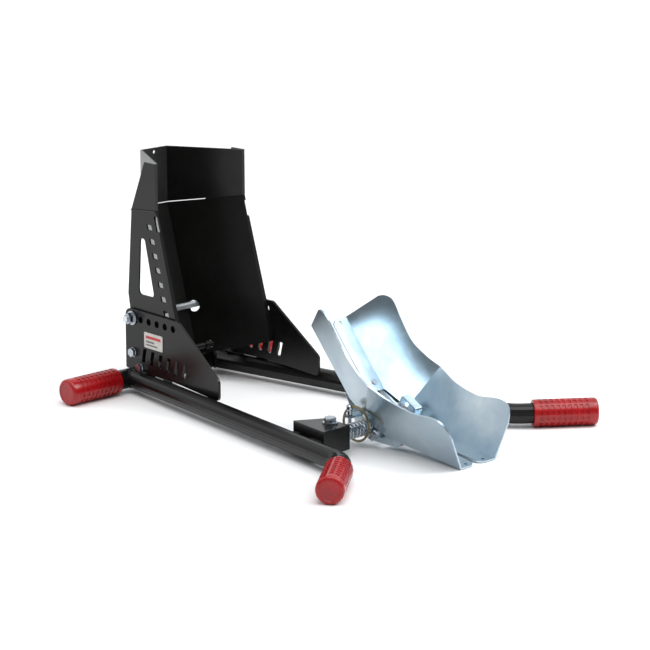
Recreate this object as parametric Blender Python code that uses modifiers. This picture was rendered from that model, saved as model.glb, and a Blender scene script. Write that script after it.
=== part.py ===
"""Front-wheel clamp stand: tubular base, bolted V tower and a tipping wheel cradle.

X runs from the tower to the cradle, Y across, Z up from the floor. Dimensions are in
millimetres and MM turns them into metres. Sides: -1 is left (-Y), +1 is right (+Y).
Pieces are laid out from the axis of the rear cross tube; MID_X is the middle of the stand.
"""
import math

import bmesh
import bpy
from mathutils import Matrix, Vector

MM = 0.001
LEFT, RIGHT = -1, 1
SIDES = {"left": LEFT, "right": RIGHT}
GAP = 0.3
WELD = 0.00001
MID_X = 300.26

# base frame
TUBE_OD = 30.0
TUBE_WALL = 2.0
CAP_OD = 40.0
CAP_LENGTH = 96.0
CAP_BORE_DEPTH = 90.0
TUBE_Z = CAP_OD / 2
CROSS_HALF = 203.0
RAIL_START_Y = 85.2
RAIL_SLOPE = 0.161
RAIL_BEND_X = 542.0
RAIL_BEND_RADIUS = 45.0
FOOT_ANGLE = math.radians(52.5)
FOOT_LENGTH = 112.0
CAP_START_REAR = 117.0
CAP_START_FRONT = 34.0

# side plates and tower
PLATE = 4.0
PLATE_OUT_Y = 91.8
PLATE_REF_X = 13.5
SPLAY = math.atan(0.062)
HOLE_Z = 117.3
HOLE_PITCH = 19.7
HOLE_COUNT = 6
HOLE_DIA = 11.0
SHEET = 2.5
CHEEK_SPREAD = 0.58
STRIP_HALF = 25.7
HEAD_BACK_X = -37.7
HEAD_TOP_Z = 360.0
SEAM_BACK_Z = 272.6
SEAM_FRONT = (67.2, 288.6)
SEAM_WALL = (9.4, 283.0)
SEAM_GAP = 1.4
BODY_FOOT = (27.0, 41.0)
BODY_FRONT = ((121.5, 95.0), (124.5, 80.6), (124.5, 68.0))

# rods and fasteners of the tower
ROD_DIA = 10.0
TIE_ROD_HALF = 108.0
LOWER_ROD = (45.4, 59.0)
MID_BOLT = (15.3, 64.0)
LOW_BOLT = (31.7, 43.0)

# cradle support
AXLE_X = 456.0
AXLE_Z = 25.7
AXLE_DIA = 14.0
AXLE_HALF = 135.0
BRACKET_TOP_Z = 45.4
BRACKET_LOW_Z = 10.0
BRACKET_SHEET = 3.0
BRACKET_BOLT_Y = 110.0
SPRING_WIRE = 3.0
SPRING_MEAN_RADIUS = 10.95
SPRING_TURNS = 8
SPRING_POINTS = 8
SPRING_IN_Y = 34.4
SPRING_OUT_Y = 92.6

# cradle
FOLD_Y = 34.0
SLIT_Y = 4.0
WALL_TOP_Y = 68.0
VALLEY_LOW = (460.4, 40.0)
VALLEY_RISES = (15.2, 80.6)
REAR_START = (343.7, 155.0)
REAR_END = (422.5, 61.5)
FRONT_START = (495.5, 20.3)
FRONT_END = (636.5, 3.0)
WALL_FULL_RISE = 70.0
SLEEVE_OD = 16.6
SLEEVE_HALF = 41.7
SADDLE_IN_Y = 31.0
SADDLE_OUT_Y = 34.0
GUIDE = (476.0, 18.0)
GUIDE_DIA = 8.0
GUIDE_STOP_Y = 41.3
PIN_X = 439.0
PIN_Y = -54.0
PIN_HEAD_Z = 54.0
RING_RADIUS = 25.0
RING_WIRE = 3.6
SADDLE_BOLT_Y = 22.0


# ---------------------------------------------------------------- scene and basic shapes

for old in list(bpy.data.objects):
    bpy.data.objects.remove(old)

stand = bpy.data.collections.new("front_wheel_clamp_stand")
cutters = bpy.data.collections.new("cutters")
bpy.context.scene.collection.children.link(stand)
bpy.context.scene.collection.children.link(cutters)


def pt(x, y, z):
    """World point in metres from millimetres measured off the rear cross tube."""
    return Vector((x - MID_X, y, z)) * MM


def material(name, colour, roughness, metallic):
    made = bpy.data.materials.new(name)
    made.use_nodes = True
    shader = made.node_tree.nodes["Principled BSDF"]
    shader.inputs["Base Color"].default_value = (*colour, 1.0)
    shader.inputs["Roughness"].default_value = roughness
    shader.inputs["Metallic"].default_value = metallic
    return made


BLACK_COAT = material("black_powder_coat", (0.012, 0.012, 0.013), 0.35, 0.0)
RED_PLASTIC = material("red_plastic", (0.45, 0.01, 0.02), 0.4, 0.0)
ZINC = material("blue_zinc", (0.62, 0.72, 0.80), 0.3, 1.0)
OLIVE_ZINC = material("olive_zinc", (0.25, 0.22, 0.12), 0.35, 1.0)
LABEL = material("label_film", (0.75, 0.73, 0.70), 0.5, 0.0)


def new_object(name, mesh, collection=stand):
    made = bpy.data.objects.new(name, mesh)
    collection.objects.link(made)
    return made


def from_bmesh(name, bm, collection=stand):
    mesh = bpy.data.meshes.new(name)
    bm.to_mesh(mesh)
    bm.free()
    return new_object(name, mesh, collection)


def bake(source, name):
    """Replace a curve or a modified object by its welded mesh in world space."""
    bpy.context.view_layer.update()
    graph = bpy.context.evaluated_depsgraph_get()
    mesh = bpy.data.meshes.new_from_object(source.evaluated_get(graph))
    bm = bmesh.new()
    bm.from_mesh(mesh)
    bmesh.ops.remove_doubles(bm, verts=bm.verts, dist=WELD)
    bmesh.ops.recalc_face_normals(bm, faces=bm.faces)
    bm.to_mesh(mesh)
    bm.free()
    place = source.matrix_world.copy()
    collection = source.users_collection[0]
    bpy.data.objects.remove(source)
    made = new_object(name, mesh, collection)
    made.matrix_world = place
    made.name = name
    return made


def dress(obj, look, crease=35.0):
    obj.data.materials.clear()
    obj.data.materials.append(look)
    obj.data.shade_smooth()
    obj.data.set_sharp_from_angle(angle=math.radians(crease))
    return obj


def cylinder(name, start, end, radius, sides=24, collection=stand):
    axis = end - start
    bm = bmesh.new()
    bmesh.ops.create_cone(bm, cap_ends=True, segments=sides, radius1=radius * MM,
                          radius2=radius * MM, depth=axis.length)
    made = from_bmesh(name, bm, collection)
    turn = axis.to_track_quat("Z", "Y").to_matrix().to_4x4()
    made.matrix_world = Matrix.Translation((start + end) / 2) @ turn
    return made


def as_cutter(obj):
    obj.hide_render = True
    obj.display_type = "WIRE"
    for collection in obj.users_collection:
        collection.objects.unlink(obj)
    cutters.objects.link(obj)
    return obj


def round_cutter(name, start, end, radius, sides=24):
    return as_cutter(cylinder(name, start, end, radius, sides))


def cut(obj, *tools):
    for tool in tools:
        step = obj.modifiers.new(tool.name, "BOOLEAN")
        step.operation = "DIFFERENCE"
        step.object = tool
    return obj


def fuse(name, body, *others):
    """One solid from overlapping ones; the sources are used up."""
    for other in others:
        step = body.modifiers.new("union", "BOOLEAN")
        step.operation = "UNION"
        step.object = other
    made = bake(body, name)
    for other in others:
        bpy.data.objects.remove(other)
    return made


def rounded(outline, radii):
    """Outline with its corners replaced by arcs; radii is one value or one per corner."""
    if not isinstance(radii, (list, tuple)):
        radii = [radii] * len(outline)
    points = []
    for i, radius in enumerate(radii):
        corner = Vector(outline[i])
        if radius == 0:
            points.append(corner)
            continue
        back = (Vector(outline[i - 1]) - corner).normalized()
        ahead = (Vector(outline[(i + 1) % len(outline)]) - corner).normalized()
        half = back.angle(ahead) / 2
        middle = (back + ahead).normalized()
        centre = corner + middle * (radius / math.sin(half))
        first = corner + back * (radius / math.tan(half)) - centre
        last = corner + ahead * (radius / math.tan(half)) - centre
        sweep = math.atan2(first.cross(last), first.dot(last))
        steps = max(2, round(abs(sweep) / math.radians(30)))
        for k in range(steps + 1):
            points.append(centre + Matrix.Rotation(sweep * k / steps, 2) @ first)
    return points


def circle(u, v, radius, sides=12):
    angles = [math.tau * (k + 0.3) / sides for k in range(sides)]
    return [(u + radius * math.cos(a), v + radius * math.sin(a)) for a in angles]


def plate(name, frame, outline, thickness, holes=()):
    """Flat plate centred on the XY plane of frame, outlines in millimetres."""
    curve = bpy.data.curves.new(name, "CURVE")
    curve.dimensions = "2D"
    curve.fill_mode = "BOTH"
    curve.extrude = thickness / 2 * MM
    for loop in (outline, *holes):
        spline = curve.splines.new("POLY")
        spline.points.add(len(loop) - 1)
        spline.use_cyclic_u = True
        for point, (u, v) in zip(spline.points, loop):
            point.co = (u * MM, v * MM, 0.0, 1.0)
    made = new_object(name + "_outline", curve)
    made.matrix_world = frame
    return bake(made, name)


def basis(origin, u, v):
    """Frame with the given in-plane directions."""
    w = u.cross(v)
    frame = Matrix((u, v, w)).transposed().to_4x4()
    frame.translation = origin
    return frame


def xz_frame(y):
    """Frame whose XY plane is the XZ plane at y, measured off the cross tube."""
    return basis(pt(0, y, 0), Vector((1, 0, 0)), Vector((0, 0, 1)))


def folded_sheet(name, facets, thickness, offset, facing):
    """Folded sheet metal: facets share edges at the folds, facing turns the first one."""
    bm = bmesh.new()
    for facet in facets:
        bm.faces.new([bm.verts.new(corner) for corner in facet])
    bmesh.ops.remove_doubles(bm, verts=bm.verts, dist=WELD)
    bmesh.ops.recalc_face_normals(bm, faces=bm.faces)
    bm.faces.ensure_lookup_table()
    if bm.faces[0].normal.dot(facing) < 0:
        bmesh.ops.reverse_faces(bm, faces=bm.faces)
    made = from_bmesh(name, bm)
    solid = made.modifiers.new("thickness", "SOLIDIFY")
    solid.thickness = thickness * MM
    solid.offset = offset
    solid.use_even_offset = True
    return made


def swept_rod(name, path, radius, resolution=2, cyclic=False):
    curve = bpy.data.curves.new(name, "CURVE")
    curve.dimensions = "3D"
    curve.bevel_depth = radius * MM
    curve.bevel_resolution = resolution
    curve.use_fill_caps = not cyclic
    spline = curve.splines.new("POLY")
    spline.points.add(len(path) - 1)
    spline.use_cyclic_u = cyclic
    for point, place in zip(spline.points, path):
        point.co = (*place, 1.0)
    return bake(new_object(name + "_path", curve), name)


def turned(name, profile, start, axis, steps=20):
    """Body of revolution: profile is (radius, along) from the far end back to the near end."""
    bm = bmesh.new()
    corners = [bm.verts.new((radius * MM, 0, along * MM)) for radius, along in profile]
    for first, second in zip(corners, corners[1:]):
        bm.edges.new((first, second))
    made = from_bmesh(name + "_profile", bm)
    screw = made.modifiers.new("turn", "SCREW")
    screw.steps = steps
    screw.render_steps = steps
    screw.use_merge_vertices = True
    screw.merge_threshold = 0.00001
    turn = axis.to_track_quat("Z", "Y").to_matrix().to_4x4()
    made.matrix_world = Matrix.Translation(start) @ turn
    return bake(made, name)


# ---------------------------------------------------------------- fasteners

def head(name, seat, axis, across_flats, height, flange_dia, flange_height):
    """Hexagon on a round flange, standing on seat along axis."""
    rim = cylinder(name + "_rim", seat, seat + axis * flange_height * MM, flange_dia / 2, 16)
    hexagon = cylinder(name + "_hex", seat + axis * 0.4 * MM, seat + axis * height * MM,
                       across_flats / math.sqrt(3), 6)
    return fuse(name, rim, hexagon)


def bolt(name, seat, axis, dia, reach, across_flats, height, flange_dia, flange_height=1.5):
    top = head(name + "_head", seat, axis, across_flats, height, flange_dia, flange_height)
    shank = cylinder(name + "_shank", seat + axis * 0.8 * MM, seat - axis * reach * MM,
                     dia / 2, 12)
    return dress(fuse(name, top, shank), ZINC)


def flat_screw(name, seat, axis, dia, reach, head_dia, head_height):
    top = cylinder(name + "_head", seat, seat + axis * head_height * MM, head_dia / 2, 20)
    shank = cylinder(name + "_shank", seat + axis * head_height / 2 * MM,
                     seat - axis * reach * MM, dia / 2, 12)
    return dress(fuse(name, top, shank), ZINC)


def nut(name, seat, axis, across_flats, height, flange_dia, bore, flange_height=1.5):
    made = head(name, seat, axis, across_flats, height, flange_dia, flange_height)
    return dress(cut(made, bore), ZINC)


# ---------------------------------------------------------------- base frame

def rail_y(x):
    return RAIL_START_Y + RAIL_SLOPE * x


def rail_path(side):
    """Straight rail, bend and outward foot as points along the tube axis."""
    run = Vector((1.0, RAIL_SLOPE)).normalized()
    foot = Vector((math.cos(FOOT_ANGLE), math.sin(FOOT_ANGLE)))
    corner = Vector((RAIL_BEND_X, rail_y(RAIL_BEND_X)))
    turn = run.angle(foot)
    tangent = RAIL_BEND_RADIUS * math.tan(turn / 2)
    normal = Vector((-run.y, run.x))
    centre = corner - run * tangent + normal * RAIL_BEND_RADIUS
    plan = [Vector((0.0, RAIL_START_Y))]
    for k in range(6):
        spoke = Matrix.Rotation(turn * k / 5, 2) @ (-normal * RAIL_BEND_RADIUS)
        plan.append(centre + spoke)
    plan.append(corner + foot * FOOT_LENGTH)
    return [pt(p.x, side * p.y, TUBE_Z) for p in plan]


def extended(path, first, last):
    """The same path with both ends pushed out, for bores that run through."""
    start = path[0] + (path[0] - path[1]).normalized() * first * MM
    end = path[-1] + (path[-1] - path[-2]).normalized() * last * MM
    return [start, *path[1:-1], end]


cross_axis = (pt(0, -CROSS_HALF, TUBE_Z), pt(0, CROSS_HALF, TUBE_Z))
cross_tube = cylinder("rear_cross_tube", *cross_axis, TUBE_OD / 2)
cross_bore = round_cutter("cross_bore", *extended(cross_axis, 10, 10), TUBE_OD / 2 - TUBE_WALL)
dress(cut(cross_tube, cross_bore), BLACK_COAT)
cross_cope = round_cutter("cross_cope", *cross_axis, TUBE_OD / 2 + GAP)

rail_clearance = {}
for word, side in SIDES.items():
    path = rail_path(side)
    rail = swept_rod(f"{word}_rail", path, TUBE_OD / 2, 8)
    bore = as_cutter(swept_rod(f"{word}_rail_bore", extended(path, 20, 10),
                               TUBE_OD / 2 - TUBE_WALL, 6))
    dress(cut(rail, cross_cope, bore), BLACK_COAT)
    rail_clearance[word] = round_cutter(f"{word}_rail_cope", *extended(path[:2], 40, 0),
                                        TUBE_OD / 2 + GAP, 32)


def cap_profile():
    """From the closed end down the outside, round the mouth and up the bore."""
    radius = CAP_OD / 2
    crown = 5.0
    arc = [math.radians(30 * k) for k in range(4)]
    edge = [(radius - crown + crown * math.sin(a), CAP_LENGTH - crown + crown * math.cos(a))
            for a in arc]
    bore = TUBE_OD / 2 + GAP
    return [(0.0, CAP_LENGTH), *edge, (radius, 3.0), (radius - 1.5, 0.0), (bore, 0.0),
            (bore, CAP_BORE_DEPTH), (0.0, CAP_BORE_DEPTH)]


for word, side in SIDES.items():
    outward = Vector((0, side, 0))
    rear = turned(f"cap_rear_{word}", cap_profile(), pt(0, side * CAP_START_REAR, TUBE_Z),
                  outward)
    foot = Vector((math.cos(FOOT_ANGLE), side * math.sin(FOOT_ANGLE), 0))
    mouth = pt(RAIL_BEND_X, side * rail_y(RAIL_BEND_X), TUBE_Z) + foot * CAP_START_FRONT * MM
    front = turned(f"cap_front_{word}", cap_profile(), mouth, foot)
    dress(rear, RED_PLASTIC)
    dress(front, RED_PLASTIC)


# ---------------------------------------------------------------- side plates

def plate_frame(side, depth):
    """Frame of a splayed side plate, depth inside its outer face."""
    along = Vector((math.cos(SPLAY), side * math.sin(SPLAY), 0))
    inward = Vector((math.sin(SPLAY), -side * math.cos(SPLAY), 0))
    origin = pt(PLATE_REF_X, side * PLATE_OUT_Y, 0) + inward * depth * MM
    return basis(origin, along, Vector((0, 0, 1)))


def band(start, end, low, high, count, lean, width):
    """Row of leaning slots between two ends, generic cut-outs along a plate."""
    slots = []
    for k in range(count):
        share = k / (count - 1)
        u = start[0] + (end[0] - start[0]) * share
        v = start[1] + (end[1] - start[1]) * share
        half = width / 2
        corners = [(u - half - lean, v + low), (u + half - lean, v + low),
                   (u + half + lean, v + high), (u - half + lean, v + high)]
        slots.append(corners)
    return slots


PLATE_OUTLINE = rounded(
    [(-18.5, 36.4), (96.0, 36.4), (205.5, 28.0), (205.5, 59.0), (110.9, 130.5), (-18.5, 131.0)],
    [3, 0, 6, 8, 10, 12])
plate_holes = [circle(k * HOLE_PITCH, HOLE_Z, HOLE_DIA / 2) for k in range(HOLE_COUNT)]
bolt_holes = [circle(x - PLATE_REF_X, z, 4.5, 16) for x, z in (MID_BOLT, LOW_BOLT)]
plate_slots = band((27.0, 63.0), (125.0, 57.0), -11.0, 11.0, 6, 2.5, 8.0)

for word, side in SIDES.items():
    frame = plate_frame(side, PLATE / 2)
    side_plate = plate(f"{word}_side_plate", frame, PLATE_OUTLINE, PLATE)
    openings = as_cutter(plate(f"{word}_plate_openings", frame, plate_holes[0], 3 * PLATE,
                               (*plate_holes[1:], *bolt_holes, *plate_slots)))
    dress(cut(side_plate, rail_clearance[word], openings), BLACK_COAT)

sticker = rounded([(28.5, 77.0), (73.5, 77.0), (73.5, 101.0), (28.5, 101.0)], 2)
dress(plate("label_plate", plate_frame(LEFT, -(GAP + 0.25)), sticker, 0.5), LABEL)


# ---------------------------------------------------------------- tower

def wall_y(x):
    """Middle of the tower's side wall, which lies against the side plate."""
    outer = PLATE_OUT_Y - PLATE - GAP + math.tan(SPLAY) * (x - PLATE_REF_X)
    return outer - SHEET / 2


def cheek_y(back, x, z):
    """Middle of a cheek, a flat sheet that leaves the back strip's edge at a fixed angle."""
    (top_x, top_z), (low_x, low_z) = back
    lean = math.atan2(low_x - top_x, top_z - low_z)
    strip_x = low_x - (z - low_z) * math.tan(lean)
    return STRIP_HALF + CHEEK_SPREAD * (x - strip_x) * math.cos(lean)


def channel(name, back, front_edge, wall_edge):
    """V channel open at the front: back strip, converging cheeks and side walls.

    back is the strip's two ends (x, z), top first. front_edge runs down the front fold,
    and wall_edge closes the wall's outline from the bottom of the fold back to its top.
    """
    facets = []
    (top_x, top_z), (low_x, low_z) = back
    facets.append([pt(top_x, -STRIP_HALF, top_z), pt(low_x, -STRIP_HALF, low_z),
                   pt(low_x, STRIP_HALF, low_z), pt(top_x, STRIP_HALF, top_z)])
    for side in (LEFT, RIGHT):
        inner = [pt(x, side * cheek_y(back, x, z), z) for x, z in front_edge]
        outer = [pt(x, side * wall_y(x), z) for x, z in front_edge]
        rest = [pt(x, side * wall_y(x), z) for x, z in wall_edge]
        facets.append([pt(top_x, side * STRIP_HALF, top_z), *inner,
                       pt(low_x, side * STRIP_HALF, low_z)])
        facets.append([*outer, *rest])
        for k in range(len(front_edge) - 1):
            facets.append([inner[k], outer[k], outer[k + 1], inner[k + 1]])
    return folded_sheet(name, facets, SHEET, 0.0, Vector((1, 0, 0)))


def lifted(place, rise):
    return (place[0], place[1] + rise)


tower_head = channel(
    "tower_head",
    [(HEAD_BACK_X, HEAD_TOP_Z), (HEAD_BACK_X, SEAM_BACK_Z + SEAM_GAP / 2)],
    [(66.8, HEAD_TOP_Z), lifted(SEAM_FRONT, SEAM_GAP / 2)],
    [lifted(SEAM_WALL, SEAM_GAP / 2), (42.7, HEAD_TOP_Z)])
top_hole = round_cutter("top_hole", pt(-60, 0, 353.5), pt(-20, 0, 353.5), 2.75, 16)
dress(cut(tower_head, top_hole), BLACK_COAT)

tower_body = channel(
    "tower_body",
    [(-38.2, SEAM_BACK_Z - SEAM_GAP / 2), BODY_FOOT],
    [lifted(SEAM_FRONT, -SEAM_GAP / 2), *BODY_FRONT],
    [(60.0, 55.0), (45.0, 37.6), (2.0, 37.6), (2.0, 131.0), (-1.9, 153.0),
     lifted(SEAM_WALL, -SEAM_GAP / 2)])

WINDOW = rounded([(29.7, 243.7), (41.0, 241.9), (62.4, 156.2), (23.9, 155.5)], [5, 4, 5, 7])

SLOT_COUNT = 7
SLOT_CORNERS = ((-5.5, -6.4), (5.5, -2.4), (5.5, 6.4), (-5.5, 2.4))
slot_start = Vector((53.0, 262.0))
slot_end = Vector((90.5, 136.0))
slot_along = (slot_end - slot_start).normalized()
slot_across = Vector((-slot_along.y, slot_along.x))
wall_slots = []
for k in range(SLOT_COUNT):
    middle = slot_start.lerp(slot_end, k / (SLOT_COUNT - 1))
    wall_slots.append([middle + slot_across * a + slot_along * b for a, b in SLOT_CORNERS])
front_lean = (BODY_FRONT[0][0] - SEAM_FRONT[0]) / (SEAM_FRONT[1] - BODY_FRONT[0][1])
FOLD_RELIEF = [(SEAM_FRONT[0] + (SEAM_FRONT[1] - z) * front_lean + dx, z)
               for dx, z in ((-5.5, 281.0), (-5.5, 258.0), (4.0, 258.0), (4.0, 281.0))]
wall_cutters = []
for word, side in SIDES.items():
    wall_cutters.append(as_cutter(plate(f"wall_openings_{word}", xz_frame(side * 91.0), WINDOW,
                                        12.0, wall_slots)))

for word, side in SIDES.items():
    wall_cutters.append(round_cutter(f"cheek_notch_{word}", pt(15.6, side * 27.2, 115.2),
                                     pt(15.6, side * 60.0, 115.2), 8.8))
    wall_cutters.append(as_cutter(plate(f"fold_relief_{word}", xz_frame(side * 92.4),
                                        FOLD_RELIEF, 8.4)))
    for tag, (x, z) in {"mid": MID_BOLT, "low": LOW_BOLT}.items():
        wall_cutters.append(round_cutter(f"{tag}_bolt_hole_{word}", pt(x, side * 78, z),
                                         pt(x, side * 96, z), 4.5, 16))

tie_clearance = round_cutter("tie_rod_clearance", pt(PLATE_REF_X, -130, HOLE_Z),
                             pt(PLATE_REF_X, 130, HOLE_Z), ROD_DIA / 2 + GAP)
lower_clearance = round_cutter("lower_rod_clearance", pt(LOWER_ROD[0], -82, LOWER_ROD[1]),
                               pt(LOWER_ROD[0], 82, LOWER_ROD[1]), ROD_DIA / 2 + GAP)
tie_wall_hole = round_cutter("tie_rod_wall_hole", pt(PLATE_REF_X, -95, HOLE_Z),
                             pt(PLATE_REF_X, 95, HOLE_Z), HOLE_DIA / 2, 24)
dress(cut(tower_body, *wall_cutters, lower_clearance, tie_wall_hole), BLACK_COAT)


# ---------------------------------------------------------------- rods and tower fasteners

dress(cylinder("tie_rod", pt(PLATE_REF_X, -TIE_ROD_HALF, HOLE_Z),
               pt(PLATE_REF_X, TIE_ROD_HALF, HOLE_Z), ROD_DIA / 2), ZINC)
lower_half = wall_y(LOWER_ROD[0]) - SHEET / 2 - 2 * GAP
dress(cylinder("lower_rod", pt(LOWER_ROD[0], -lower_half, LOWER_ROD[1]),
               pt(LOWER_ROD[0], lower_half, LOWER_ROD[1]), ROD_DIA / 2), BLACK_COAT)

for word, side in SIDES.items():
    outward = Vector((0, side, 0))
    nut(f"tie_rod_nut_{word}", pt(PLATE_REF_X, side * 92.9, HOLE_Z), outward, 15.0, 10.0, 21.8,
        tie_clearance, 2.0)
    collar = cylinder(f"lower_rod_collar_{word}", pt(LOWER_ROD[0], side * 24.5, LOWER_ROD[1]),
                      pt(LOWER_ROD[0], side * 33.4, LOWER_ROD[1]), 7.0, 24)
    dress(cut(collar, lower_clearance), BLACK_COAT)
    for tag, (x, z) in {"mid": MID_BOLT, "low": LOW_BOLT}.items():
        seat = PLATE_OUT_Y + math.tan(SPLAY) * (x + 7.5 - PLATE_REF_X) + GAP
        bolt(f"{tag}_bolt_{word}", pt(x, side * seat, z), outward, 8.0, seat - 78.0, 12.0, 6.5,
             14.5)
        inner = wall_y(x - 7.5) - SHEET / 2 - GAP
        shank = round_cutter(f"{tag}_thread_{word}", pt(x, side * 60, z), pt(x, side * 100, z),
                             4.0 + GAP, 20)
        nut(f"{tag}_nut_{word}", pt(x, side * inner, z), -outward, 12.0, 6.0, 14.0, shank)


# ---------------------------------------------------------------- axle, brackets and springs

BRACKET_TOP = [(432.0, 96.0), (481.0, 96.0), (480.5, 147.0), (409.0, 136.5)]
bracket_holes = round_cutter("bracket_axle_holes", pt(AXLE_X, -130, AXLE_Z),
                             pt(AXLE_X, 130, AXLE_Z), AXLE_DIA / 2 + GAP)

for word, side in SIDES.items():
    top = [pt(x, side * y, BRACKET_TOP_Z) for x, y in BRACKET_TOP]
    low = [pt(x, side * y, BRACKET_LOW_Z) for x, y in BRACKET_TOP]
    facets = [top] + [[top[a], low[a], low[b], top[b]] for a, b in ((3, 0), (0, 1), (1, 2), (2, 3))]
    bracket = folded_sheet(f"{word}_axle_bracket", facets, BRACKET_SHEET, -1.0,
                           Vector((0, 0, 1)))
    bolt_hole = round_cutter(f"bracket_bolt_hole_{word}", pt(AXLE_X, side * BRACKET_BOLT_Y, 36),
                             pt(AXLE_X, side * BRACKET_BOLT_Y, 56), HOLE_DIA / 2, 24)
    dress(cut(bracket, bracket_holes, bolt_hole, rail_clearance[word]), BLACK_COAT)
    bolt(f"bracket_bolt_{word}", pt(AXLE_X, side * BRACKET_BOLT_Y, BRACKET_TOP_Z + GAP),
         Vector((0, 0, 1)), ROD_DIA, BRACKET_TOP_Z - AXLE_Z - AXLE_DIA / 2, 15.0, 9.0, 21.8, 2.0)

dress(cylinder("axle", pt(AXLE_X, -AXLE_HALF, AXLE_Z), pt(AXLE_X, AXLE_HALF, AXLE_Z),
               AXLE_DIA / 2), ZINC)


def coil(side):
    """Points along a compression spring on the axle, inner end first."""
    first = SPRING_IN_Y + SPRING_WIRE / 2 + GAP
    last = SPRING_OUT_Y - SPRING_WIRE / 2 - GAP
    steps = SPRING_POINTS * SPRING_TURNS
    points = []
    for k in range(steps + 1):
        angle = math.tau * k / SPRING_POINTS
        along = first + (last - first) * k / steps
        points.append(pt(AXLE_X + SPRING_MEAN_RADIUS * math.cos(angle), side * along,
                         AXLE_Z + SPRING_MEAN_RADIUS * math.sin(angle)))
    return points


for word, side in SIDES.items():
    dress(swept_rod(f"spring_{word}", coil(side), SPRING_WIRE / 2), ZINC, 60.0)


# ---------------------------------------------------------------- cradle sheets

def line_direction(start, end):
    return (Vector(end) - Vector(start)).normalized()


REAR_ALONG = line_direction(REAR_START, REAR_END)
FRONT_ALONG = line_direction(FRONT_START, FRONT_END)


def upward(along):
    return Vector((-along.y, along.x))


def on_floor(start, along, s, h=0.0):
    """Point (x, z) at distance s along a floor strip and h above it."""
    return Vector(start) + along * s + upward(along) * h


REAR_LENGTH = (Vector(REAR_END) - Vector(REAR_START)).length
FRONT_LENGTH = (Vector(FRONT_END) - Vector(FRONT_START)).length

# (distance along the floor strip, height of the wall's top edge there)
REAR_RIM = [(0.0, 52.7), (5.3, 61.3), (18.6, 67.1), (49.6, 64.5), (84.9, 63.5), (113.1, 70.6),
            (124.4, 74.7)]
FRONT_RIM = [(0.0, 76.8), (27.6, 68.6), (71.3, 64.5), (105.1, 70.5), (124.2, 69.4),
             (133.9, 61.2), (139.7, 47.5)]
VALLEY_TOP = (495.4, 101.0)


def rim_y(height):
    return FOLD_Y + (WALL_TOP_Y - FOLD_Y) * height / WALL_FULL_RISE


def smooth_rows(knots, parts=4):
    """Catmull-Rom rows through the knots, each row a base point and a top point."""
    rows = []
    for k in range(len(knots) - 1):
        before = knots[max(k - 1, 0)]
        after = knots[min(k + 2, len(knots) - 1)]
        for step in range(parts):
            t = step / parts
            base = knots[k][0].lerp(knots[k + 1][0], t)
            ends = knots[k][1], knots[k + 1][1]
            slope = (ends[1] - before[1]) / 2, (after[1] - ends[0]) / 2
            top = ((2 * t**3 - 3 * t**2 + 1) * ends[0] + (t**3 - 2 * t**2 + t) * slope[0]
                   + (-2 * t**3 + 3 * t**2) * ends[1] + (t**3 - t**2) * slope[1])
            rows.append((base, top))
    rows.append(knots[-1])
    return rows


def in_space(place, y):
    return Vector((place[0], y, place[1]))


def wall_rows(start, along, length, rim, valley_first):
    """Rows of one wall from its free end to the valley, in (x, |y|, z)."""
    knots = []
    for s, h in rim:
        base = on_floor(start, along, min(s, length))
        knots.append((in_space(base, FOLD_Y), in_space(on_floor(start, along, s, h), rim_y(h))))
    valley = tuple(in_space(place, rim_y(rise))
                   for place, rise in zip((VALLEY_LOW, VALLEY_TOP), VALLEY_RISES))
    if valley_first:
        knots[-1] = (in_space(on_floor(start, along, length), FOLD_Y), knots[-1][1])
        return smooth_rows([valley, *knots])
    return smooth_rows([*knots, valley])


def floor_strip(rows, start, along, length, ends):
    """Floor flange inward of the fold, with a rounded corner at each end of the slit."""
    fold = [row[0] for row in rows if abs(row[0].y - FOLD_Y) < 1e-6]
    distance = [(Vector((p.x, p.z)) - Vector(start)).dot(along) for p in fold]
    order = sorted(zip(distance, fold), key=lambda item: item[0])
    corners = [(0.0, FOLD_Y), (0.0, SLIT_Y), (length, SLIT_Y), (length, FOLD_Y)]
    curve = rounded(corners, [0, ends[0], ends[1], 0])[1:-1]
    inner = [in_space(on_floor(start, along, u), v) for u, v in curve]
    return [p for _, p in order] + inner[::-1]


def cradle_half(word, side):
    rear = wall_rows(REAR_START, REAR_ALONG, REAR_LENGTH, REAR_RIM, False)
    front = wall_rows(FRONT_START, FRONT_ALONG, FRONT_LENGTH, FRONT_RIM, True)
    facets = [floor_strip(rear, REAR_START, REAR_ALONG, REAR_LENGTH, (12, 8)),
              floor_strip(front, FRONT_START, FRONT_ALONG, FRONT_LENGTH, (8, 12))]
    for rows in (rear, front):
        for (base_a, top_a), (base_b, top_b) in zip(rows, rows[1:]):
            facets.append([base_a, base_b, top_b, top_a])
    placed = [[pt(p.x, side * p.y, p.z) for p in facet] for facet in facets]
    up = upward(REAR_ALONG)
    made = folded_sheet(f"cradle_{word}_half", placed, SHEET, -1.0, Vector((up.x, 0, up.y)))
    return dress(cut(made, *strip_holes[word]), ZINC, 20.0)


def strip_axis(start, along, s, y, low, high):
    """Line square to a floor strip, from low to high above it."""
    first = on_floor(start, along, s, low)
    last = on_floor(start, along, s, high)
    return pt(first.x, y, first.y), pt(last.x, y, last.y)


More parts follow.
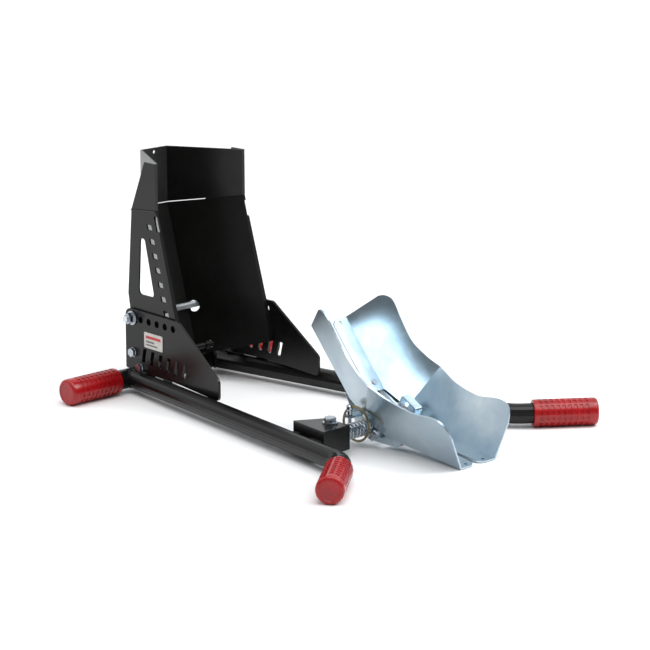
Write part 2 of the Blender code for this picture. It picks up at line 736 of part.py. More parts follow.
REAR_BOLT_S = 108.0
FRONT_BOLT_S = 14.0
saddle_seats = {"rear": (REAR_START, REAR_ALONG, REAR_BOLT_S),
                "front": (FRONT_START, FRONT_ALONG, FRONT_BOLT_S)}
strip_holes = {}
thread_cutters = {}
for word, side in SIDES.items():
    strip_holes[word] = [
        round_cutter(f"rear_end_hole_{word}",
                     *strip_axis(REAR_START, REAR_ALONG, 6.5, side * 17.5, -9, 9), 2.5, 16),
        round_cutter(f"front_end_hole_{word}",
                     *strip_axis(FRONT_START, FRONT_ALONG, 134.5, side * 17.5, -9, 9), 2.5, 16)]
    for tag, seat in saddle_seats.items():
        thread = round_cutter(f"{tag}_thread_{word}",
                              *strip_axis(*seat, side * SADDLE_BOLT_Y, -20, 12), 3.0 + GAP, 16)
        strip_holes[word].append(thread)
        thread_cutters[tag, word] = thread
    cradle_half(word, side)


# ---------------------------------------------------------------- saddle and pivot

SADDLE_TOP = SHEET + 2 * GAP
SADDLE_OUTLINE = [(402.5, 80.4), (419.3, 60.5), (496.1, 17.1), (521.9, 13.9), (515.0, 7.0),
                  (495.0, 6.0), (462.0, 7.0), (444.0, 9.5), (432.0, 24.0)]


def saddle_ear(name, start, along, s0, s1, side):
    """Tab folded inward under a floor strip."""
    corners = [on_floor(start, along, s, h) for s, h in
               ((s0, -SADDLE_TOP - 3), (s1, -SADDLE_TOP - 3), (s1, -SADDLE_TOP), (s0, -SADDLE_TOP))]
    return plate(name, xz_frame(side * 22.0), corners, 20.0)


axle_clearance = round_cutter("sleeve_clearance", pt(AXLE_X, -60, AXLE_Z),
                              pt(AXLE_X, 60, AXLE_Z), SLEEVE_OD / 2 + GAP, 32)
guide_clearance = round_cutter("guide_clearance", pt(GUIDE[0], -70, GUIDE[1]),
                               pt(GUIDE[0], 70, GUIDE[1]), GUIDE_DIA / 2 + GAP, 24)
pin_clearance = round_cutter("pin_clearance", pt(PIN_X, PIN_Y, 20), pt(PIN_X, PIN_Y, 60), 2.8, 20)

for word, side in SIDES.items():
    middle = side * (SADDLE_IN_Y + SADDLE_OUT_Y) / 2
    web = plate(f"{word}_saddle_web", xz_frame(middle),
                rounded(SADDLE_OUTLINE, [2, 4, 6, 2, 5, 6, 8, 6, 8]), SADDLE_OUT_Y - SADDLE_IN_Y)
    tabs = [saddle_ear(f"{word}_rear_ear", REAR_START, REAR_ALONG, 98, 118, side),
            saddle_ear(f"{word}_front_ear", FRONT_START, FRONT_ALONG, 4, 24, side)]
    holes = [axle_clearance, guide_clearance, thread_cutters["rear", word],
             thread_cutters["front", word]]
    if side == LEFT:
        tabs.append(plate("pin_ear", xz_frame(-46.5),
                          [(432.0, 40.0), (446.0, 40.0), (446.0, 43.0), (432.0, 43.0)], 27.0))
        holes.append(pin_clearance)
    dress(cut(fuse(f"{word}_saddle_cheek", web, *tabs), *holes), ZINC)

    for tag, seat in saddle_seats.items():
        up = upward(seat[1])
        axis = Vector((up.x, 0, up.y))
        on_top = strip_axis(*seat, side * SADDLE_BOLT_Y, 0, GAP)[1]
        below = strip_axis(*seat, side * SADDLE_BOLT_Y, 0, -SADDLE_TOP - 3 - GAP)[1]
        flat_screw(f"saddle_bolt_{tag}_{word}", on_top, axis, 6.0, 13.0, 9.0, 1.1)
        nut(f"saddle_nut_{tag}_{word}", below, -axis, 10.0, 5.0, 11.5, thread_cutters[tag, word])

sleeve = cylinder("pivot_sleeve", pt(AXLE_X, -SLEEVE_HALF, AXLE_Z),
                  pt(AXLE_X, SLEEVE_HALF, AXLE_Z), SLEEVE_OD / 2, 32)
sleeve_bore = round_cutter("sleeve_bore", pt(AXLE_X, -60, AXLE_Z), pt(AXLE_X, 60, AXLE_Z),
                           AXLE_DIA / 2 + GAP)
dress(cut(sleeve, sleeve_bore), ZINC)

dress(cylinder("guide_bolt", pt(GUIDE[0], -48.3, GUIDE[1]), pt(GUIDE[0], 48.3, GUIDE[1]),
               GUIDE_DIA / 2, 20), ZINC)
for word, side in SIDES.items():
    lock = cylinder(f"guide_nut_{word}", pt(GUIDE[0], side * GUIDE_STOP_Y, GUIDE[1]),
                    pt(GUIDE[0], side * (GUIDE_STOP_Y + 6.0), GUIDE[1]), 13.0 / math.sqrt(3), 6)
    dress(cut(lock, guide_clearance), ZINC)


# ---------------------------------------------------------------- bridge channels in the valley

BRIDGE_ALONG = line_direction(REAR_END, FRONT_START)


def bridge(word, side):
    """Small inverted channel standing on the saddle between the two floor strips."""
    outside = [(43.0, -5.0), (43.0, 28.5), (75.0, 28.5), (75.0, -5.0)]
    inside = [(72.5, -5.0), (72.5, 26.0), (45.5, 26.0), (45.5, -5.0)]
    outline = [on_floor(REAR_END, BRIDGE_ALONG, *corner) for corner in
               [*rounded(outside, [0, 3, 3, 0]), *rounded(inside, [0, 1, 1, 0])]]
    made = plate(f"{word}_bridge_channel", xz_frame(side * 23.7), outline, 14.0)
    return dress(made, ZINC)


for word, side in SIDES.items():
    bridge(word, side)


# ---------------------------------------------------------------- linch pin and ring

to_axle = Vector((AXLE_X - PIN_X, 0, AXLE_Z - PIN_HEAD_Z)).normalized()
ring_centre = pt(PIN_X, PIN_Y, PIN_HEAD_Z) + to_axle * RING_RADIUS * MM


def ring_points(sides=24):
    points = []
    for k in range(sides):
        angle = math.tau * k / sides
        spoke = Vector((math.cos(angle), 0, math.sin(angle)))
        points.append(ring_centre + spoke * RING_RADIUS * MM)
    return points


dress(swept_rod("linch_ring", ring_points(), RING_WIRE / 2, 2, True), OLIVE_ZINC, 60.0)
ring_clearance = as_cutter(swept_rod("ring_clearance", ring_points(), RING_WIRE / 2 + 0.8, 2,
                                     True))
pin_profile = [(0.0, 59.0), (3.2, 58.2), (5.0, 56.2), (5.0, 51.8), (3.6, 49.6), (3.6, 43.4),
               (2.5, 43.4), (2.5, 19.0), (0.0, 16.5)]
pin = turned("linch_pin", pin_profile, pt(PIN_X, PIN_Y, 0), Vector((0, 0, 1)), 20)
dress(cut(pin, ring_clearance), ZINC)


# ---------------------------------------------------------------- pivots of the moving pieces

CORE = ["pivot_sleeve", "guide_bolt", "guide_nut_left", "guide_nut_right"]


def half_nodes(word):
    saddle = [f"saddle_{kind}_{tag}_{word}" for kind in ("bolt", "nut") for tag in saddle_seats]
    return [f"cradle_{word}_half", f"{word}_saddle_cheek", f"{word}_bridge_channel", *saddle]


def pivot(name, place, children, parent=None):
    """Empty on a joint's axis that carries the pieces moving about it."""
    made = bpy.data.objects.new(name, None)
    stand.objects.link(made)
    made.location = place
    bpy.context.view_layer.update()
    if parent:
        made.parent = parent
        made.matrix_parent_inverse = parent.matrix_world.inverted()
        bpy.context.view_layer.update()
    for child in children:
        obj = bpy.data.objects[child]
        obj.parent = made
        obj.matrix_parent_inverse = made.matrix_world.inverted()
    return made


rocker = pivot("cradle_pivot", pt(AXLE_X, 0, AXLE_Z), CORE)
left_slide = pivot("left_half_slide", pt(AXLE_X, -FOLD_Y, AXLE_Z),
                   [*half_nodes("left"), "linch_pin"], rocker)
pivot("right_half_slide", pt(AXLE_X, FOLD_Y, AXLE_Z), half_nodes("right"), rocker)
pivot("ring_hinge", pt(PIN_X, PIN_Y, PIN_HEAD_Z), ["linch_ring"], left_slide)
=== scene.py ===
"""Looks of the front-wheel clamp stand: finishes, fine surface detail, light and camera."""
import math

import bmesh
import bpy
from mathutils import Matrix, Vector


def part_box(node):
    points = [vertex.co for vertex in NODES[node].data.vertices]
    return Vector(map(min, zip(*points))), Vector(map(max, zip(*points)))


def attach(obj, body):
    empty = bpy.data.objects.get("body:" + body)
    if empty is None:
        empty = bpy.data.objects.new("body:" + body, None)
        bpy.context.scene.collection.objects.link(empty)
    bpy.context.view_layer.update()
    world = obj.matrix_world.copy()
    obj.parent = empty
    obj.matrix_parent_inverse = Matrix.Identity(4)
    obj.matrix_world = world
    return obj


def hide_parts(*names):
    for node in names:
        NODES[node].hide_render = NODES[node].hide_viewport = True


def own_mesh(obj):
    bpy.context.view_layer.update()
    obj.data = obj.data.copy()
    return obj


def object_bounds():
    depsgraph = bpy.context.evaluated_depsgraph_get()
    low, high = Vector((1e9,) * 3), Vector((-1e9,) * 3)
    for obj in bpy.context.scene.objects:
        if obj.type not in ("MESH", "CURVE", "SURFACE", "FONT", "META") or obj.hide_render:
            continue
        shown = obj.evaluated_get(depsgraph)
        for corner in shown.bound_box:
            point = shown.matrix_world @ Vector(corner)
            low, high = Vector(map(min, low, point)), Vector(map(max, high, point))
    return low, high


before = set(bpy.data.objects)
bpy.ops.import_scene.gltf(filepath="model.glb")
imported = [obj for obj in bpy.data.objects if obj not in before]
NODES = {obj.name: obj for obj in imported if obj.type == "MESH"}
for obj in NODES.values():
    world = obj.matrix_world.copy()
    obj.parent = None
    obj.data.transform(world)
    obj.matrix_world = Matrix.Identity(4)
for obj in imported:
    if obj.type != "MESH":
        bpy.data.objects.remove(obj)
cad_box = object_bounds()

MM = 0.001
LEFT, RIGHT = -1, 1
SIDES = {"left": LEFT, "right": RIGHT}
SCENE = bpy.context.scene


# ---------------------------------------------------------------- places read from the frame

def centre(node):
    low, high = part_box(node)
    return (low + high) / 2


def size(node):
    low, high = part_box(node)
    return high - low


TUBE_AXIS = centre("rear_cross_tube")
TUBE_RADIUS = size("rear_cross_tube").z / 2
AXLE = centre("axle")


# ---------------------------------------------------------------- material building blocks

class Look:
    """A Principled material with its nodes placed on object coordinates."""

    def __init__(self, name, colour, roughness, metallic=0.0, **sockets):
        self.made = bpy.data.materials.new(name)
        self.made.use_nodes = True
        self.tree = self.made.node_tree
        self.shader = self.tree.nodes["Principled BSDF"]
        self.place = self.add("ShaderNodeTexCoord").outputs["Object"]
        self.put("Base Color", (*colour, 1.0))
        self.put("Roughness", roughness)
        self.put("Metallic", metallic)
        for socket, value in sockets.items():
            self.put(socket.replace("_", " "), value)

    def add(self, kind, **values):
        node = self.tree.nodes.new(kind)
        for key, value in values.items():
            setattr(node, key, value)
        return node

    def put(self, socket, value):
        self.shader.inputs[socket].default_value = value

    def link(self, source, target):
        self.tree.links.new(source, target)

    def noise(self, scale, detail=2.0, roughness=0.5):
        grain = self.add("ShaderNodeTexNoise")
        grain.inputs["Scale"].default_value = scale
        grain.inputs["Detail"].default_value = detail
        grain.inputs["Roughness"].default_value = roughness
        self.link(self.place, grain.inputs["Vector"])
        return grain.outputs["Fac"]

    def ramp(self, factor, *stops):
        made = self.add("ShaderNodeValToRGB")
        band = made.color_ramp.elements
        while len(band) < len(stops):
            band.new(0.5)
        for element, (position, colour) in zip(band, stops):
            element.position = position
            element.color = (*colour, 1.0)
        self.link(factor, made.inputs["Fac"])
        return made.outputs["Color"]

    def spread(self, factor, low, high):
        made = self.add("ShaderNodeMapRange")
        made.inputs["To Min"].default_value = low
        made.inputs["To Max"].default_value = high
        self.link(factor, made.inputs["Value"])
        return made.outputs["Result"]

    def bump(self, height, strength, distance):
        made = self.add("ShaderNodeBump")
        made.inputs["Strength"].default_value = strength
        made.inputs["Distance"].default_value = distance
        self.link(height, made.inputs["Height"])
        above = self.shader.inputs["Normal"]
        if above.links:
            self.link(above.links[0].from_socket, made.inputs["Normal"])
        self.link(made.outputs["Normal"], above)


def black_coat():
    """Satin powder coat: orange peel, faint cloudiness and small gloss changes."""
    look = Look("black_powder_coat", (0.006, 0.006, 0.006), 0.3, Specular_IOR_Level=0.3)
    cloud = look.noise(14.0, 3.0)
    look.link(look.ramp(cloud, (0.3, (0.0045, 0.0043, 0.004)), (0.75, (0.009, 0.0085, 0.008))),
              look.shader.inputs["Base Color"])
    look.link(look.spread(look.noise(60.0, 4.0), 0.18, 0.3), look.shader.inputs["Roughness"])
    look.bump(look.noise(750.0, 2.0), 0.2, 0.0002)
    return look.made


def zinc(name, base, shade, tint, roughness=(0.2, 0.3)):
    """Bright plating: faint drifting tint over a fine even grain."""
    look = Look(name, base, 0.25, 1.0)
    drift = look.noise(12.0, 9.0, roughness=0.66)
    look.link(look.ramp(drift, (0.32, shade), (0.5, base), (0.68, tint)),
              look.shader.inputs["Base Color"])
    look.link(look.spread(look.noise(240.0, 5.0, roughness=0.65), *roughness),
              look.shader.inputs["Roughness"])
    look.bump(look.noise(420.0, 3.0), 0.07, 0.0001)
    return look.made


def threaded(name, pitch, axis):
    """Plated thread: fine ridges at the pitch along one axis."""
    look = Look(name, (0.62, 0.66, 0.70), 0.3, 1.0)
    look.link(look.ramp(look.noise(90.0, 3.0), (0.3, (0.50, 0.54, 0.58)),
                        (0.7, (0.72, 0.76, 0.80))), look.shader.inputs["Base Color"])
    ridges = look.add("ShaderNodeTexWave", wave_type="BANDS", bands_direction=axis)
    ridges.inputs["Scale"].default_value = math.tau / 20 / pitch
    look.link(look.place, ridges.inputs["Vector"])
    look.bump(ridges.outputs["Fac"], 0.9, 0.0006)
    return look.made


def red_plastic():
    look = Look("red_plastic", (0.33, 0.003, 0.005), 0.3, IOR=1.5)
    look.link(look.ramp(look.noise(40.0, 3.0), (0.3, (0.28, 0.002, 0.004)),
                        (0.7, (0.39, 0.004, 0.007))), look.shader.inputs["Base Color"])
    look.link(look.spread(look.noise(120.0, 3.0), 0.2, 0.34), look.shader.inputs["Roughness"])
    look.bump(look.noise(900.0, 2.0), 0.2, 0.0002)
    return look.made


BLACK = black_coat()
BLUE_ZINC = zinc("blue_zinc", (0.46, 0.56, 0.63), (0.37, 0.47, 0.55), (0.56, 0.64, 0.69))
BRIGHT_ZINC = zinc("bright_zinc", (0.46, 0.49, 0.53), (0.36, 0.39, 0.44), (0.56, 0.58, 0.60),
                   (0.14, 0.24))
OLIVE = zinc("olive_plating", (0.27, 0.23, 0.13), (0.15, 0.13, 0.08), (0.40, 0.34, 0.19),
             (0.3, 0.5))
RED = red_plastic()
THREAD_Y = threaded("threaded_rod", 1.5 * MM, "Y")


# ---------------------------------------------------------------- helpers for pieces

def repaint(node, look):
    NODES[node].data.materials.clear()
    NODES[node].data.materials.append(look)


EDGE_SEGMENTS = 2
EDGE_ANGLE = math.radians(28)
SHEET_SMOOTH_ANGLE = math.radians(50)
PIECE_SMOOTH_ANGLE = math.radians(40)


def ease_edges(node, width):
    """Rolled metal edges and fold radii on a CAD node."""
    step = NODES[node].modifiers.new("eased_edges", "BEVEL")
    step.width = width
    step.segments = EDGE_SEGMENTS
    step.limit_method = "ANGLE"
    step.angle_limit = EDGE_ANGLE
    NODES[node].data.shade_smooth()
    NODES[node].data.set_sharp_from_angle(angle=SHEET_SMOOTH_ANGLE)
    even = NODES[node].modifiers.new("even_normals", "WEIGHTED_NORMAL")
    even.keep_sharp = True


def piece(name, bm, look, slot_name, *replaced):
    """A new mesh fixed to the base, in the place of the CAD nodes it replaces."""
    bmesh.ops.recalc_face_normals(bm, faces=bm.faces)
    mesh = bpy.data.meshes.new(name)
    bm.to_mesh(mesh)
    bm.free()
    mesh.shade_smooth()
    mesh.set_sharp_from_angle(angle=PIECE_SMOOTH_ANGLE)
    mesh.materials.append(look)
    made = bpy.data.objects.new(name, mesh)
    SCENE.collection.objects.link(made)
    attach(made, "base")
    if replaced:
        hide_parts(*replaced)
    return made


def skin(bm, rings):
    """Quads between neighbouring rings of vertices."""
    for near, far in zip(rings, rings[1:]):
        for k in range(len(near)):
            following = (k + 1) % len(near)
            bm.faces.new((near[k], near[following], far[following], far[k]))


def sweep(bm, path, radius_at, sides):
    """Round wire or bead along a path; radius_at gives the radius at each step."""
    rings = []
    side_axis = None
    for k, place in enumerate(path):
        ahead = path[min(k + 1, len(path) - 1)]
        behind = path[max(k - 1, 0)]
        along = (ahead - behind).normalized()
        if side_axis is None:
            side_axis = along.orthogonal().normalized()
        side_axis = (side_axis - along * side_axis.dot(along)).normalized()
        other = along.cross(side_axis)
        ring = []
        for j in range(sides):
            angle = math.tau * j / sides
            offset = side_axis * math.cos(angle) + other * math.sin(angle)
            ring.append(bm.verts.new(place + offset * radius_at(k)))
        rings.append(ring)
    skin(bm, rings)
    bm.faces.new(rings[0])
    bm.faces.new(rings[-1][::-1])


# ---------------------------------------------------------------- red ribbed end caps

CAP_LENGTH = 96.0 * MM
CAP_BORE_DEPTH = 90.0 * MM
CAP_CLEARANCE = 0.3 * MM
CAP_CROWN = 4.5 * MM
CROWN_STEPS = 6
FOOT_ANGLE = math.radians(52.5)
CAP_FACETS = 14
CAP_ROWS = 9
POCKETS_FROM_MOUTH = 7.0 * MM
POCKETS_FROM_END = 12.0 * MM
POCKET_DEPTH = 1.1 * MM
POCKET_SHARE = 0.58
POCKET_SLOPE = 0.35 * MM
FACET_SHARES = (0.0, 0.14, 0.2, 0.8, 0.86)
POCKET_FROM, POCKET_TO = 0.15, 0.85


def cap_rings(bore, radius):
    """(radius, along, may be pocketed) from the mouth to the closed end."""
    rings = [(bore, 1.2 * MM, False), (bore + 0.6 * MM, 0.0, False),
             (radius - 1.6 * MM, 0.0, False), (radius - 0.5 * MM, 0.5 * MM, False),
             (radius, 2.0 * MM, False)]
    pitch = (CAP_LENGTH - POCKETS_FROM_END - POCKETS_FROM_MOUTH) / CAP_ROWS
    for row in range(CAP_ROWS):
        low = POCKETS_FROM_MOUTH + row * pitch
        high = low + pitch * POCKET_SHARE
        rings += [(radius, low, False), (radius, low + POCKET_SLOPE, True),
                  (radius, high - POCKET_SLOPE, True), (radius, high, False)]
    for k in range(CROWN_STEPS):
        angle = math.pi / 2 * k / CROWN_STEPS
        rings.append((radius - CAP_CROWN * (1 - math.cos(angle)),
                      CAP_LENGTH - CAP_CROWN + CAP_CROWN * math.sin(angle), False))
    dish = 0.6 * MM
    rings += [(radius - CAP_CROWN - dish, CAP_LENGTH, False),
              (radius - CAP_CROWN - 2 * dish, CAP_LENGTH - dish, False),
              (3.0 * MM, CAP_LENGTH - dish, False)]
    return rings


def ribbed_cap(node, axis):
    """Cap with columns of shallow pockets between lengthwise ribs."""
    start = centre(node) - axis * CAP_LENGTH / 2
    level = Vector((0, 0, 1))
    across = axis.cross(level).normalized()
    bm = bmesh.new()
    rings = []
    for reach, along, pocketed in cap_rings(TUBE_RADIUS + CAP_CLEARANCE, size(node).z / 2):
        ring = []
        for facet in range(CAP_FACETS):
            for share in FACET_SHARES:
                angle = math.tau * (facet + share) / CAP_FACETS
                sunk = POCKET_DEPTH if pocketed and POCKET_FROM < share < POCKET_TO else 0.0
                spoke = across * math.cos(angle) + level * math.sin(angle)
                ring.append(bm.verts.new(start + axis * along + spoke * (reach - sunk)))
        rings.append(ring)
    skin(bm, rings)
    bm.faces.new(rings[-1])
    depth = start + axis * CAP_BORE_DEPTH
    inner = [bm.verts.new(depth + (v.co - start) - axis * (v.co - start).dot(axis))
             for v in rings[0]]
    skin(bm, [inner, rings[0]])
    bm.faces.new(inner[::-1])
    piece("ribbed_" + node, bm, RED, "red_plastic", node)


for word, side in SIDES.items():
    ribbed_cap(f"cap_rear_{word}", Vector((0, side, 0)))
    foot = Vector((math.cos(FOOT_ANGLE), side * math.sin(FOOT_ANGLE), 0))
    ribbed_cap(f"cap_front_{word}", foot)


# ---------------------------------------------------------------- springs

SPRING_WIRE_RADIUS = 1.45 * MM
SPRING_INSET = 0.6 * MM
SPRING_TURNS = 9
STEPS_PER_TURN = 28
END_TURN_RISE = 0.45


def spring(word, side):
    """Compression spring with closed ends on the axle."""
    low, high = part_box(f"spring_{word}")
    wire = SPRING_WIRE_RADIUS
    inner = min(abs(low.y), abs(high.y)) + wire
    outer = max(abs(low.y), abs(high.y)) - wire
    mean = (high.z - low.z) / 2 - wire - SPRING_INSET
    open_turns = SPRING_TURNS - 2
    path = []
    for k in range(SPRING_TURNS * STEPS_PER_TURN + 1):
        turn = k / STEPS_PER_TURN
        end_turns = min(turn, 1.0) + max(turn - open_turns - 1, 0.0)
        rise = END_TURN_RISE * end_turns + min(max(turn - 1.0, 0.0), open_turns)
        along = inner + (outer - inner) * rise / (open_turns + 2 * END_TURN_RISE)
        angle = math.tau * turn
        path.append(Vector((AXLE.x + mean * math.cos(angle), side * along,
                            AXLE.z + mean * math.sin(angle))))
    bm = bmesh.new()
    sweep(bm, path, lambda k: wire, 10)
    made = piece(f"coiled_spring_{word}", bm, BRIGHT_ZINC, "blue_zinc", f"spring_{word}")
    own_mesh(made)


for word, side in SIDES.items():
    spring(word, side)


# ---------------------------------------------------------------- weld beads

# in mm, measured as the function `at` measures
RAIL_START_Y = 85.2
RAIL_SLOPE = 0.161
SHEET = 2.5
WALL_OUT_Y = 87.5
WALL_SPLAY = 0.062
WALL_REF_X = 13.5
STRIP_HALF = 25.7
SEAM_STRIP_X, SEAM_STRIP_Z = -37.7, 272.6
SEAM_WALL = (9.4, 283.0)
SEAM_FRONT = (67.2, 288.6)
CHEEK_WELD_START = 0.5
BRACKET_WELDS = ((412.0, 428.0), (455.0, 478.0))
PLATE_WELDS = ((-10.0, 8.0), (40.0, 62.0), (88.0, 108.0))
GROOVE_ANGLE = math.radians(38)
CREST_ANGLE = math.radians(76)
CHEEK_BEAD_LIFT = 0.45
BEAD_CLEARANCE = 0.6 * MM
COPE_CLEARANCE = 0.8 * MM
COPE_STEPS = 48
RIPPLE_STEP = 0.6 * MM
RIPPLE_DEPTH = 0.14
RIPPLE_TURN = 0.75


def bead(name, path, radius):
    """Weld bead: overlapping ripples along a path."""
    spaced = [path[0]]
    for point in path[1:]:
        gap = (point - spaced[-1]).length
        count = max(1, round(gap / RIPPLE_STEP))
        start = spaced[-1]
        spaced += [start.lerp(point, (k + 1) / count) for k in range(count)]
    bm = bmesh.new()
    sweep(bm, spaced,
          lambda k: radius * (1 - RIPPLE_DEPTH + RIPPLE_DEPTH * abs(math.sin(k * RIPPLE_TURN))), 8)
    piece(name, bm, BLACK, "black_coat")


def at(x, y, z):
    """A point in mm: x from the cross tube's axis, y from the middle, z from the floor."""
    return Vector((TUBE_AXIS.x + x * MM, y * MM, cad_box[0][2] + z * MM))


def rail_point(x, side):
    """On a rail's axis, x in mm along the stand."""
    return at(x, side * (RAIL_START_Y + RAIL_SLOPE * x), TUBE_AXIS.z / MM - cad_box[0][2] / MM)


def cope_path(side):
    """Where a rail is coped onto the cross tube."""
    root = rail_point(0, side)
    run = (rail_point(100, side) - root).normalized()
    up = Vector((0, 0, 1))
    across = run.cross(up).normalized()
    path = []
    for k in range(COPE_STEPS + 1):
        angle = math.tau * k / COPE_STEPS
        spoke = (up * math.cos(angle) + across * math.sin(angle)) * TUBE_RADIUS
        reach = math.sqrt(max(TUBE_RADIUS**2 - spoke.z**2, 0.0)) / run.x
        path.append(root + spoke + run * (reach + COPE_CLEARANCE - spoke.dot(run)))
    return path


def wall_face(x, side):
    """Distance of the tower wall's outer face from the middle plane, signed, in mm."""
    return side * (WALL_OUT_Y + WALL_SPLAY * (x - WALL_REF_X))


def seam_weld(side):
    """Bead over the seam of the upright: across the side wall, then in along the cheek."""
    (back_x, back_z), (front_x, front_z) = SEAM_WALL, SEAM_FRONT
    wall = [at(back_x, wall_face(back_x, side), back_z),
            at(front_x, wall_face(front_x, side), front_z)]
    inner_x = SEAM_STRIP_X + (front_x - SEAM_STRIP_X) * CHEEK_WELD_START
    inner_y = STRIP_HALF + (abs(wall_face(front_x, side)) - STRIP_HALF) * CHEEK_WELD_START
    inner_z = SEAM_STRIP_Z + (front_z - SEAM_STRIP_Z) * CHEEK_WELD_START
    forward = Vector((1, -side, 0)) * SHEET * CHEEK_BEAD_LIFT * MM
    cheek = [at(inner_x, side * inner_y, inner_z) + forward,
             at(front_x - SHEET, wall_face(front_x, side) - side * SHEET, front_z) + forward]
    return wall, cheek


def groove_weld(x_start, x_end, side, angle):
    """Straight bead on a rail's inner flank, angle above its widest line."""
    path = []
    for x in (x_start, x_end):
        inward = Vector((0, -side * math.cos(angle), math.sin(angle)))
        path.append(rail_point(x, side) + inward * (TUBE_RADIUS + BEAD_CLEARANCE))
    return path


for word, side in SIDES.items():
    bead(f"cope_weld_{word}", cope_path(side), 1.7 * MM)
    wall_line, cheek_line = seam_weld(side)
    bead(f"wall_seam_weld_{word}", wall_line, 1.6 * MM)
    bead(f"cheek_seam_weld_{word}", cheek_line, 1.8 * MM)
    for count, (start, end) in enumerate(BRACKET_WELDS):
        bead(f"bracket_weld_{count}_{word}", groove_weld(start, end, side, GROOVE_ANGLE),
             2.2 * MM)
    for count, (start, end) in enumerate(PLATE_WELDS):
        bead(f"plate_weld_{count}_{word}", groove_weld(start, end, side, CREST_ANGLE),
             1.8 * MM)


# ---------------------------------------------------------------- finishes on the CAD nodes

BLACK_NODES = ["rear_cross_tube", "left_rail", "right_rail", "left_side_plate",
               "right_side_plate", "tower_body", "tower_head", "lower_rod",
               "lower_rod_collar_left", "lower_rod_collar_right", "left_axle_bracket",
               "right_axle_bracket"]
for node in BLACK_NODES:
    repaint(node, BLACK)

for node in NODES:
    if ("cradle" in node or "cheek" in node or "channel" in node
            or node in ("axle", "pivot_sleeve")):
        repaint(node, BLUE_ZINC)
    elif "bolt" in node or "nut" in node or node == "linch_pin":
        repaint(node, BRIGHT_ZINC)
repaint("tie_rod", THREAD_Y)
repaint("guide_bolt", THREAD_Y)
repaint("linch_ring", OLIVE)

for node, width in {"tower_body": 0.5, "tower_head": 0.5, "left_side_plate": 0.5,
                    "right_side_plate": 0.5, "left_axle_bracket": 2.4,
                    "right_axle_bracket": 2.4, "cradle_left_half": 0.6,
                    "cradle_right_half": 0.6, "left_saddle_cheek": 0.4,
                    "right_saddle_cheek": 0.4, "left_bridge_channel": 0.5,
                    "right_bridge_channel": 0.5}.items():
    ease_edges(node, width * MM)


# ---------------------------------------------------------------- sticker

def label_look():
    """Pale film with a plain grey block and a red stripe, no lettering."""
    low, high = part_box("label_plate")
    look = Look("label_film", (0.62, 0.60, 0.57), 0.42)
    spot = look.add("ShaderNodeSeparateXYZ")
    look.link(look.place, spot.inputs["Vector"])

    def band(axis, start, end):
        """1 between two shares of the sticker's width or height, else 0."""
        a = look.add("ShaderNodeMath", operation="GREATER_THAN")
        b = look.add("ShaderNodeMath", operation="LESS_THAN")
        both = look.add("ShaderNodeMath", operation="MULTIPLY")
        index = "XYZ".index(axis)
        span = high[index] - low[index]
        a.inputs[1].default_value = low[index] + span * start
        b.inputs[1].default_value = low[index] + span * end
        look.link(spot.outputs[axis], a.inputs[0])
        look.link(spot.outputs[axis], b.inputs[0])
        look.link(a.outputs[0], both.inputs[0])
        look.link(b.outputs[0], both.inputs[1])
        return both.outputs[0]

    def patch(base, x_range, z_range, colour):
        inside = look.add("ShaderNodeMath", operation="MULTIPLY")
        look.link(band("X", *x_range), inside.inputs[0])
        look.link(band("Z", *z_range), inside.inputs[1])
        mix = look.add("ShaderNodeMix", data_type="RGBA")
        mix.inputs["B"].default_value = (*colour, 1.0)
        look.link(inside.outputs[0], mix.inputs["Factor"])
        look.link(base, mix.inputs["A"])
        return mix.outputs["Result"]

    paper = look.ramp(look.noise(200.0, 2.0), (0.3, (0.55, 0.53, 0.50)), (0.7, (0.68, 0.66, 0.62)))
    red = (0.55, 0.03, 0.03)
    grey = (0.16, 0.15, 0.15)
    colours = patch(paper, (0.10, 0.90), (0.62, 0.80), red)
    colours = patch(colours, (0.10, 0.55), (0.36, 0.48), grey)
    colours = patch(colours, (0.10, 0.72), (0.16, 0.26), grey)
    look.link(colours, look.shader.inputs["Base Color"])
    return look.made


repaint("label_plate", label_look())


# ---------------------------------------------------------------- floor, light and camera

FLOOR_HALF = 14.0
FLOOR_DROP = 0.0002


def floor():
    bm = bmesh.new()
    bmesh.ops.create_grid(bm, x_segments=1, y_segments=1, size=FLOOR_HALF)
    mesh = bpy.data.meshes.new("floor")
    bm.to_mesh(mesh)
    bm.free()
    look = Look("studio_floor", (0.93, 0.93, 0.93), 0.7)
    mesh.materials.append(look.made)
    made = bpy.data.objects.new("floor", mesh)
    made.location.z = cad_box[0][2] - FLOOR_DROP
    SCENE.collection.objects.link(made)


def softbox(name, place, target, width, height, power):
    lamp = bpy.data.lights.new(name, "AREA")
    lamp.shape = "RECTANGLE"
    lamp.size = width
    lamp.size_y = height
    lamp.energy = power
    made = bpy.data.objects.new(name, lamp)
    made.location = place
    made.rotation_euler = (Vector(target) - Vector(place)).to_track_quat("-Z", "Y").to_euler()
    SCENE.collection.objects.link(made)


def sun(name, direction, strength, spread):
    lamp = bpy.data.lights.new(name, "SUN")
    lamp.energy = strength
    lamp.angle = math.radians(spread)
    made = bpy.data.objects.new(name, lamp)
    made.rotation_euler = Vector(direction).to_track_quat("-Z", "Y").to_euler()
    SCENE.collection.objects.link(made)


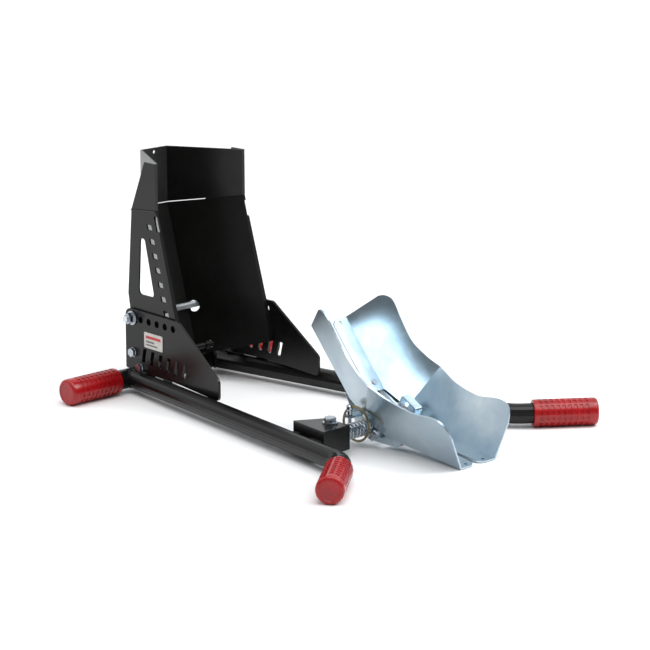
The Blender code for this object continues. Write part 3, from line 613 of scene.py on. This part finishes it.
def surround():
    """Studio surroundings: dim in front, bright overhead and behind."""
    world = bpy.data.worlds.new("studio")
    world.use_nodes = True
    tree = world.node_tree
    place = tree.nodes.new("ShaderNodeTexCoord")
    toward = tree.nodes.new("ShaderNodeVectorMath")
    toward.operation = "DOT_PRODUCT"
    toward.inputs[1].default_value = Vector((-0.6, 0.6, 1.0)).normalized()
    rise = tree.nodes.new("ShaderNodeMapRange")
    rise.inputs["From Min"].default_value = -0.2
    rise.inputs["From Max"].default_value = 0.8
    rise.inputs["To Min"].default_value = 0.2
    rise.inputs["To Max"].default_value = 1.0
    sheet = tree.nodes["Background"]
    sheet.inputs["Color"].default_value = (0.96, 0.98, 1.0, 1.0)
    tree.links.new(place.outputs["Generated"], toward.inputs[0])
    tree.links.new(toward.outputs["Value"], rise.inputs["Value"])
    tree.links.new(rise.outputs["Result"], sheet.inputs["Strength"])
    SCENE.world = world


floor()
sun("daylight", direction=(-0.25, 0.15, -1.0), strength=1.5, spread=50)
softbox("left_fill", place=(-1.35, -1.35, 1.25), target=(0.15, 0.05, 0.1), width=0.75,
        height=0.75, power=2.6)
softbox("right_fill", place=(1.22, 1.0, 1.73), target=(0.12, 0.0, 0.1), width=0.9,
        height=0.9, power=20)
surround()
SCENE.view_settings.view_transform = "Standard"

VIEW_AZIMUTH = math.radians(45.3)
VIEW_ELEVATION = math.radians(13.96)
SENSOR = 36.0
VIEW_LENS = 147.65
VIEW_SHIFT = (0.0005, -0.0057)
VIEW_REACH = 60.0
VIEW_FROM_TUBE = Vector((3.0031, -2.6415, 1.0856))

camera = bpy.data.cameras.new("camera")
camera.sensor_width = SENSOR
camera.lens = VIEW_LENS
camera.shift_x, camera.shift_y = VIEW_SHIFT
camera.clip_end = VIEW_REACH
viewer = bpy.data.objects.new("camera", camera)
viewer.location = Vector((TUBE_AXIS.x, 0, cad_box[0][2])) + VIEW_FROM_TUBE
ahead = Vector((-math.sin(VIEW_AZIMUTH) * math.cos(VIEW_ELEVATION),
                math.cos(VIEW_AZIMUTH) * math.cos(VIEW_ELEVATION), -math.sin(VIEW_ELEVATION)))
viewer.rotation_euler = ahead.to_track_quat("-Z", "Y").to_euler()
SCENE.collection.objects.link(viewer)
SCENE.camera = viewer
